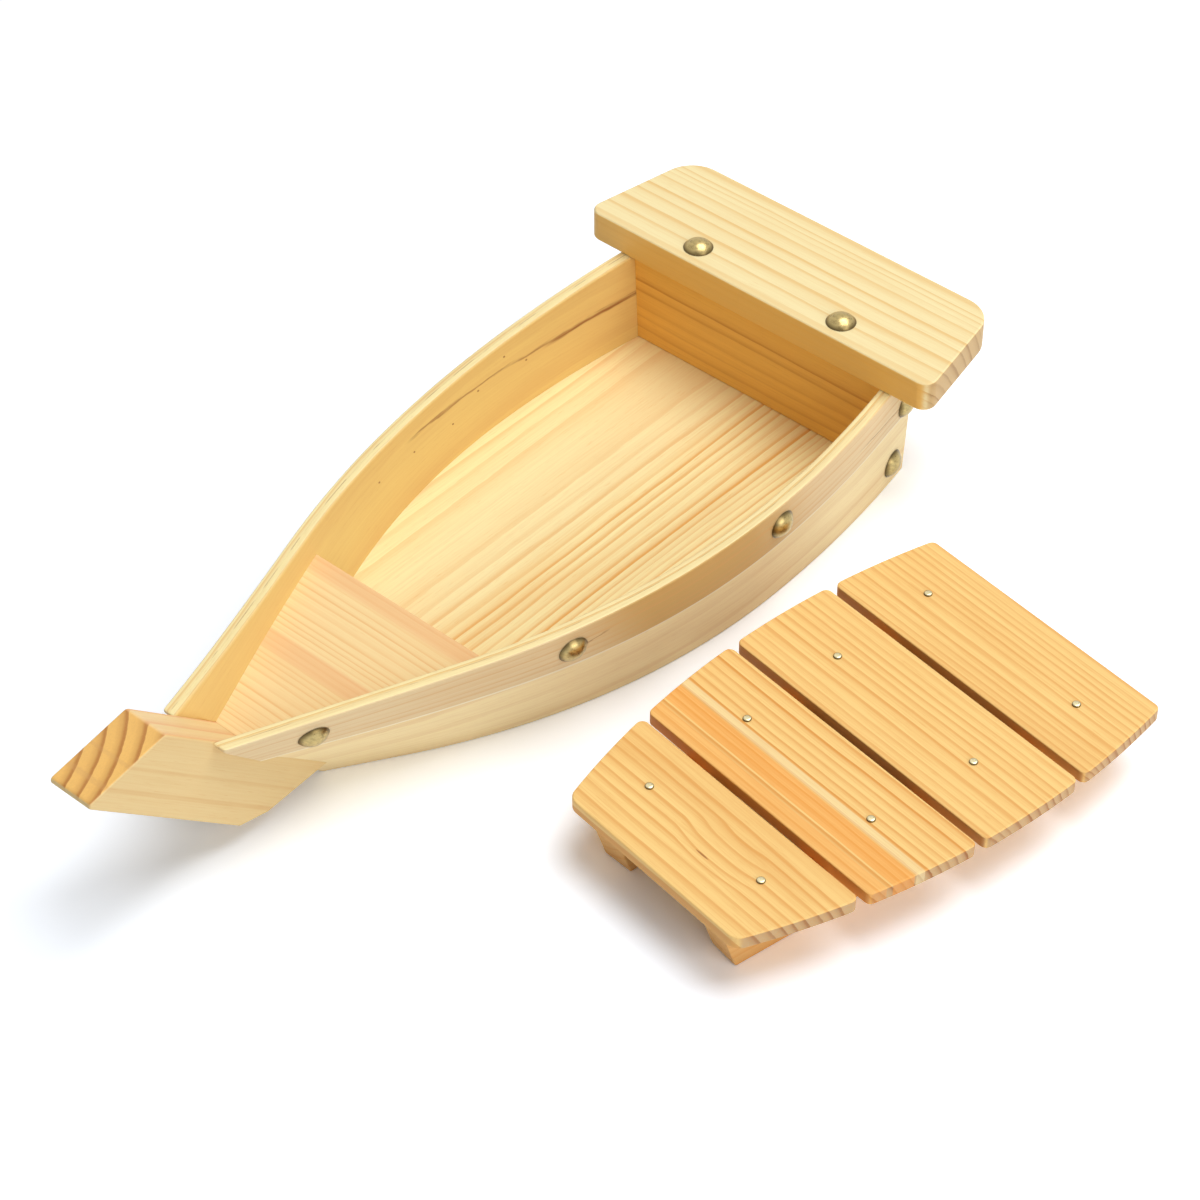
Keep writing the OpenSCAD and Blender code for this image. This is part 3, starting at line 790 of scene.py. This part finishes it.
def side_strip(lines, k, section, base, node, slot, finish):
    """Bent strip along one side, with its upper bow corner rounded off.

    section gives rows of (height, outer, inner) for a rounded and a plain top height,
    and base gives the height from which the wood is measured for a plain top height.
    """
    h, piece, rings = lines.h, Piece(), []
    top = lines.top(1.0)
    outs = [lines.run_out(z, o) for z, o, i in section(top - h.end_r, top)]
    cheek = lines.stem_half + h.glue
    length = (lines.tip + h.aft_len) * BEND
    finer, bow = 0.7, 1 - h.end_r / length
    stations = spread(0, finer, 36) + spread(finer, bow, 40)[1:]
    stations += [bow + (1 - bow) * sin(q) for q in spread(0, pi / 2, 8)[1:]]
    for t in stations:
        run = max(0.0, t - bow) * length
        plain = lines.top(t)
        rows = section(plain - h.end_r + sqrt(max(0.0, h.end_r ** 2 - run ** 2)), plain)
        outer, inner, go, gi = [], [], [], []
        for (z, o, i), out in zip(rows, outs):
            s = t * out
            p, q = lines.side(s, z, o), lines.side(s, z, i)
            # Beside the stem, the inner face stops at its cheek.
            if q.x > lines.stem_back(z) - h.glue and z > h.forefoot_z:
                q.y = min(p.y, max(q.y, cheek))
            outer.append(Vector((p.x, k * p.y, p.z)))
            inner.append(Vector((q.x, k * q.y, q.z)))
            go.append((s * length, z - base(plain), o))
            gi.append((s * length, z - base(plain), i))
        rings.append(piece.ring(outer + inner[::-1], go + gi[::-1]))
    piece.loft(rings)
    piece.ladder(rings[0])
    piece.ladder(rings[-1])
    piece.make(node, "pine", "hull", slot, finish)


class BOAT_OT_planks(BoatStep, bpy.types.Operator):
    """Make the two bent side planks"""
    bl_idname = "boat.planks"
    bl_label = "Side planks"

    def build(self, lines, look):
        h, e = lines.h, STRIP_EASE
        low, foot, step = 0.0003, h.forefoot_z, 0.0001

        def section(top, plain):
            t = h.plank_t
            rows = [(0.0, -low, -t + low)]
            rows += [(z, 0, -t) for z in (low, foot * 0.5, foot - step, foot + step)]
            rows += [(z, 0, -t) for z in spread(foot, top - e, 8)[1:]]
            rows += [(top - i, 0, -t + w) for i, w in quarter(e)[1:4]]
            return rows + [(top, -RIM_EASE, -t + e)]

        for k, side in SIDES:
            marks = {} if k > 0 else dict(
                cracks=[(0.018, 0.0372, 0.070, 0.0372, 0.0016, 1.0),
                        (0.060, 0.0372, 0.150, 0.0412, 0.0008, 0.7)],
                specks=[(x, z, 0.0007, 0.0005) for x, z in (
                    (0.176, 0.0372), (0.1535, 0.0350), (0.130, 0.0322), (0.1115, 0.0375), (0.0935, 0.0438),
                    (0.084, 0.0362))])
            early = look.straw if k > 0 else look.ochre
            # The paler top edge of each plank is painted light from above.
            wood = pine("pine_%s_plank" % side, look, early, look.straw_line,
                        pith=(0.06, 0.10 * k), ring=0.0042, depth=0.4, wander=0.006, seed=11.3 + k,
                        tilt=0.03, faces=painted_lit_rim(look), **marks)
            side_strip(lines, k, section, lambda top: 0.0, side + "_plank", "pine_plank", wood)


class BOAT_OT_strakes(BoatStep, bpy.types.Operator):
    """Make the two outer strakes"""
    bl_idname = "boat.strakes"
    bl_label = "Strakes"

    def build(self, lines, look):
        h, e = lines.h, STRIP_EASE

        def section(top, plain):
            lo, t, g = plain - h.strake_h, h.strake_t, h.glue
            rows = [(lo + w, t - i, g) for i, w in quarter(0.7 * e)]
            rows += [(z, t, g) for z in spread(lo + e, top - e, 5)]
            rows += [(top - i, t - w, g) for i, w in quarter(e)[1:4]]
            return rows + [(top, t - e, g + RIM_EASE)]

        for k, side in SIDES:
            cracks = [(0.181, 0.0115, 0.190, 0.0098, 0.0005, 0.9),
                      (0.015, 0.0075, 0.048, 0.0085, 0.0004, 0.8)]
            # On the strakes the pale streak along the lower edge is a painted highlight, the paler top edge
            # is painted light, and the darker band in the middle is painted shade.
            wood = pine("pine_%s_strake" % side, look, look.tan, look.straw_line,
                        pith=(0.07, 0.05 * k), ring=0.0026, depth=0.5, wander=0.003, seed=23.9 + k,
                        seam=0.0004, cracks=cracks if k > 0 else (),
                        streaks=[(0.0004, 0.0004, 0.0003, look.painted_highlight, 0.9)], faces=painted_lit_rim(look),
                        bands=[(0.138, 0.022, 0.045, look.painted_shade_middle, 0.9)])
            side_strip(lines, k, section, lambda top: top - h.strake_h, side + "_strake",
                       "pine_strake", wood)


class BOAT_OT_platform(BoatStep, bpy.types.Operator):
    """Make the platform across the stern"""
    bl_idname = "boat.platform"
    bl_label = "Stern platform"

    def build(self, lines, look):
        h, ease = lines.h, 0.0008
        half = h.platform_len / 2
        a, w, x = half - h.platform_taper, h.platform_w, lines.platform_x
        outline = rounded([(x, -half), (x, half), (x - w, a), (x - w, -a)],
                          [h.platform_r_fore] * 2 + [h.platform_r_aft] * 2, 12)
        piece = Piece()
        piece.prism(outline, lines.platform_z, lines.platform_z + h.platform_t, ease,
                    lambda u, v, z: (u, v, z), lambda u, v, z: (v, u, z))
        pith = (x + 0.028, lines.platform_z - 0.026)
        # The fore face gets the deeper amber as painted shade, as it faces away from the key lamp; the port
        # and starboard ends are end grain.
        wood = pine("pine_platform", look, look.pale, look.pale_line, pith=pith, ring=0.0040,
                    depth=0.75, wander=0.004, seed=31.7,
                    faces=[(PORT, look.cut, look.cut_line, 0.8),
                           (STARBOARD, look.cut, look.cut_line, 0.8),
                           (BOW, look.amber, look.amber, 0.9)])
        piece.make("stern_platform", "pine", "hull", "pine_deck", wood)


def tack_profile(n, long):
    """Dome tack from the point of its shank to its crown."""
    r, shank = n.tack_d / 2, n.tack_shank / 2
    ball = (r * r + n.tack_h ** 2) / (2 * n.tack_h)
    edge = asin(r / ball)
    taper, shoulder, lip, rim = 0.0015, 0.002, 0.0004, 0.0001
    seat, crown, steps = n.tack_seat, n.tack_seat + n.tack_h, 16
    profile = [(HAIR, -long), (shank * 0.9, -long + taper), (shank, -long + shoulder), (shank, seat),
               (r - lip, seat), (r, seat + rim)]
    for k in range(1, steps + 1):
        q = edge * (1 - k / steps)
        profile.append((max(HAIR, ball * sin(q)), crown - ball + ball * cos(q)))
    return profile


class BOAT_OT_tacks(BoatStep, bpy.types.Operator):
    """Make the dome-headed brass tacks"""
    bl_idname = "boat.tacks"
    bl_label = "Dome tacks"

    def build(self, lines, look):
        h, n = lines.h, lines.n
        brass = aged_brass("brass_tack", look, look.brass, n.tack_d / 2, 0.22)
        flip = Matrix.Scale(-1, 4, PORT)
        waist_x, fore_x, bow_x = -0.0016, h.bow_deck_x - 0.024, lines.tip - 0.0322
        side = [lines.on_side(x, lines.sheer(x) - h.strake_h / 2, h.strake_t)
                for x in (waist_x, fore_x, bow_x)]
        upper_x, lower_x = lines.stern_tack_x, lines.stern_tack_x - 0.0004
        upper_z = lines.sheer(upper_x) - h.strake_h + n.tack_d / 2 + 0.0007
        lower_z = h.bottom_t * 0.57
        stern = [lines.on_side(upper_x, upper_z, h.strake_t), lines.on_side(lower_x, lower_z, 0)]
        crown_x, crown_z = lines.face - 0.007, lines.platform_z + h.platform_t
        crown = [Matrix.Translation((crown_x, k * n.tack_gap / 2, crown_z)) for k in (-1, 1)]
        for name, places, long in (("port_tacks", side, lines.tack_short),
                                   ("starboard_tacks", [flip @ m for m in side], lines.tack_short),
                                   ("stern_tacks", stern + [flip @ m for m in stern], n.tack_long),
                                   ("platform_tacks", crown, n.tack_long)):
            piece = Piece()
            for place in places:
                piece.turned(tack_profile(n, long), place)
            piece.make(name, "brass", "hull", "brass_tacks", brass, 50)


class BOAT_OT_slats(BoatStep, bpy.types.Operator):
    """Make the four slats of the lift-out deck"""
    bl_idname = "boat.slats"
    bl_label = "Slats"

    def build(self, lines, look):
        d, w, steps = lines.d, lines.slat_w, 6
        side, fore = [lines.deck.to_3x3() @ Vector(v) for v in (PORT, BOW)]
        rings, depths = (0.0042, 0.0030, 0.0036, 0.0029), (0.8, 1.0, 0.75, 0.7)
        for i, name in enumerate(("fore_slat", "second_slat", "third_slat", "aft_slat")):
            u0, u1 = lines.slat_u(i) - w / 2, lines.slat_u(i) + w / 2
            us = spread(u0, u1, steps)
            points = [(u, -lines.deck_v(u)) for u in us] + [(u, lines.deck_v(u)) for u in reversed(us)]
            far = d.end_r if i == 0 else d.slat_r
            plain = [0] * (steps - 1)
            radii = [d.slat_r] + plain + [far, far] + plain + [d.slat_r]
            piece = Piece()
            piece.prism(rounded(points, radii), d.runner_h + lines.h.glue, d.runner_h + d.slat_t, d.ease,
                        lambda u, v, z: lines.deck @ Vector((u, v, z)),
                        lambda u, v, z: (v, u - u0, z))
            marks = {}
            if i == 0:
                marks = dict(flows=[(0.010, 0.020, 0.020, 0.012, -0.0020)],
                             specks=[(0.0065, 0.0255, 0.0035, 0.0004)])
            elif i == 1:
                marks = dict(streaks=[(w - 0.0126, 0.0038, 0.0003, look.heart, 0.64),
                                      (w - 0.0030, 0.0032, 0.0003, look.heart, 0.45),
                                      (w - 0.0187, 0.0014, 0.0004, look.pale, 0.60)])
            faces = [(side, look.butt, look.pitch, 0.9), (-side, look.butt, look.pitch, 0.9)]
            # Painted shade: the fore faces of the inner slats, seen in the gaps, get the dark slat-edge
            # brown.
            if i > 0:
                faces.append((fore, look.edge, look.edge, 0.9))
            wood = pine("pine_" + name, look, look.honey, look.honey_line,
                        pith=(0.07, 0.0), ring=rings[i], depth=depths[i], wander=0.005,
                        seed=41.0 + 3.3 * i, even=0.55, share=0.42, fibre=0.3, faces=faces, **marks)
            piece.make(name, "pine", "slatted_deck", "pine_slats", wood)


class BOAT_OT_runners(BoatStep, bpy.types.Operator):
    """Make the two runners under the slats"""
    bl_idname = "boat.runners"
    bl_label = "Runners"

    def build(self, lines, look):
        d, corner, ease = lines.d, 0.0012, 0.0005
        foot = lines.deck_len / 2 - d.setback
        outline = rounded([(-foot, 0), (foot, 0), (foot + d.slope, d.runner_h),
                           (-foot - d.slope, d.runner_h)], [corner] * 4, 5)
        # The darker runner colour is painted shade under the deck.
        wood = pine("pine_runner", look, look.painted_shade_runner, look.honey_line,
                    pith=(0.05, 0.03), ring=0.0035, seed=61.0)
        for k, side in SIDES:
            place = (lines.deck @ Matrix.Translation((0, k * lines.runner_mid, 0))
                     @ Matrix.Rotation(-k * d.splay, 4, "Z"))
            piece = Piece()
            piece.prism(outline, -d.runner_w / 2, d.runner_w / 2, ease,
                        lambda u, z, v: place @ Vector((u, v, z)), lambda u, z, v: (u, z, v * k))
            piece.make(side + "_runner", "pine", "slatted_deck", "pine_slats", wood)


class BOAT_OT_brads(BoatStep, bpy.types.Operator):
    """Make the small brads that hold the slats"""
    bl_idname = "boat.brads"
    bl_label = "Brads"

    def build(self, lines, look):
        d, n = lines.d, lines.n
        r, shank, g = n.brad_d / 2, n.brad_shank / 2, lines.h.glue
        tip, rim = 0.001, 0.0001
        profile = [(HAIR, -n.brad_len), (shank, -n.brad_len + tip), (shank, g), (r - rim, g), (r, g + rim)]
        profile += [(max(HAIR, r * a), g + n.brad_h * b) for a, b in (
            (1, 0.45), (0.93, 0.72), (0.75, 0.92), (0.5, 1), (0, 0.95))]
        piece = Piece()
        setbacks = (0.002, 0.002, 0.0003, 0.0003)
        for i, back in enumerate(setbacks):
            u = lines.slat_u(i) - back
            v = lines.runner_mid - u * tan(d.splay)
            for k in (-1, 1):
                piece.turned(profile, lines.deck @ Matrix.Translation((u, k * v, d.runner_h + d.slat_t)), 24)
        brass = aged_brass("brass_brad", look, look.bright, r, 0.25)
        piece.make("deck_brads", "brass", "slatted_deck", "brass_brads", brass, 50)


class BOAT_OT_stage(BoatStep, bpy.types.Operator):
    """Set up the floor, the lamps and the camera"""
    bl_idname = "boat.stage"
    bl_label = "Stage"

    def execute(self, context):
        scene, stage = context.scene, context.scene.boat.stage
        scene.view_settings.view_transform = "Standard"

        # Floor
        mesh = bpy.data.meshes.new("floor")
        sides, reach, drop = 64, 4.0, 0.0001
        turns = [2 * pi * k / sides for k in range(sides)]
        mesh.from_pydata([(reach * cos(q), reach * sin(q), -drop) for q in turns], [], [tuple(range(sides))])
        material = bpy.data.materials.new("floor_white")
        s = Sheet(material)
        seen = s.seen()
        plain = s.node("ShaderNodeBsdfDiffuse", None, {"Color": paint(stage.floor)})
        more = s.node("ShaderNodeBsdfDiffuse", None, {"Color": paint(stage.gain)})
        lifted = s.node("ShaderNodeAddShader", None, {0: plain, 1: more})
        # Where it is seen, it fades to plain white away from the boat.
        middle, near, far = (0.07, 0.065, 0), 0.30, 0.60
        away = s.vector("DISTANCE", s.node("ShaderNodeNewGeometry"), middle, "Value")
        haze = s.node("ShaderNodeEmission", None, {"Color": WHITE, "Strength": 1.0})
        faded = s.node("ShaderNodeMixShader", None, {0: s.ease(away, near, far), 1: lifted, 2: haze})
        s.output(s.node("ShaderNodeMixShader", None, {0: seen, 1: plain, 2: faded}))
        mesh.materials.append(material)
        floor = bpy.data.objects.new("floor", mesh)
        scene.collection.objects.link(floor)

        # Light from all round
        world = bpy.data.worlds.new("studio")
        scene.world = world
        s = Sheet(world)
        seen = s.seen()
        fill = s.node("ShaderNodeBackground", None, {"Color": WHITE, "Strength": stage.fill})
        white = s.node("ShaderNodeBackground", None, {"Color": WHITE, "Strength": 1.0})
        s.output(s.node("ShaderNodeMixShader", None, {0: seen, 1: fill, 2: white}), "ShaderNodeOutputWorld")

        # Lamps
        aim = Vector((0.06, 0.04, 0.03))
        for name, place, wide, power in (("key_lamp", (-0.60, 0.50, 2.45), 1.9, stage.key),
                                         ("side_lamp", (0.50, 2.75, 1.30), 2.0, stage.side)):
            lamp = bpy.data.lights.new(name, "AREA")
            lamp.size, lamp.energy = wide, power
            obj = bpy.data.objects.new(name, lamp)
            obj.matrix_world = facing(place, Vector(place) - aim)
            scene.collection.objects.link(obj)

        # Camera
        camera = bpy.data.cameras.new("camera")
        camera.lens, camera.sensor_width = stage.lens, 36.0
        camera.clip_start, camera.clip_end = 0.01, 50.0
        obj = bpy.data.objects.new("camera", camera)
        level = cos(stage.tilt)
        back = Vector((level * cos(stage.heading), level * sin(stage.heading), sin(stage.tilt)))
        obj.matrix_world = facing(stage.eye, back)
        scene.collection.objects.link(obj)
        scene.camera = obj
        return {"FINISHED"}


STEPS = (BOAT_OT_bottom_board, BOAT_OT_transom, BOAT_OT_stem, BOAT_OT_bow_deck, BOAT_OT_planks,
         BOAT_OT_strakes, BOAT_OT_platform, BOAT_OT_tacks, BOAT_OT_slats, BOAT_OT_runners,
         BOAT_OT_brads, BOAT_OT_stage)


class BOAT_PT_panel(bpy.types.Panel):
    """Panel with the steps of the sushi boat"""
    bl_idname = "BOAT_PT_panel"
    bl_label = "Sushi boat"
    bl_space_type = "VIEW_3D"
    bl_region_type = "UI"
    bl_category = "Sushi boat"

    def draw(self, context):
        for step in STEPS:
            self.layout.operator(step.bl_idname)
        for group in ("hull", "deck", "nails", "look", "stage"):
            settings = getattr(context.scene.boat, group)
            box = self.layout.box()
            for key in settings.__annotations__:
                box.prop(settings, key)


CLASSES = (HullSizes, DeckSizes, NailSizes, Finishes, StageSettings, BoatSettings, *STEPS, BOAT_PT_panel)


def register():
    for cls in CLASSES:
        bpy.utils.register_class(cls)
    bpy.types.Scene.boat = PointerProperty(type=BoatSettings)


def unregister():
    del bpy.types.Scene.boat
    for cls in reversed(CLASSES):
        bpy.utils.unregister_class(cls)


def main():
    register()
    for step in STEPS:
        getattr(bpy.ops.boat, step.bl_idname.split(".")[1])()


if __name__ == "__main__":
    main()
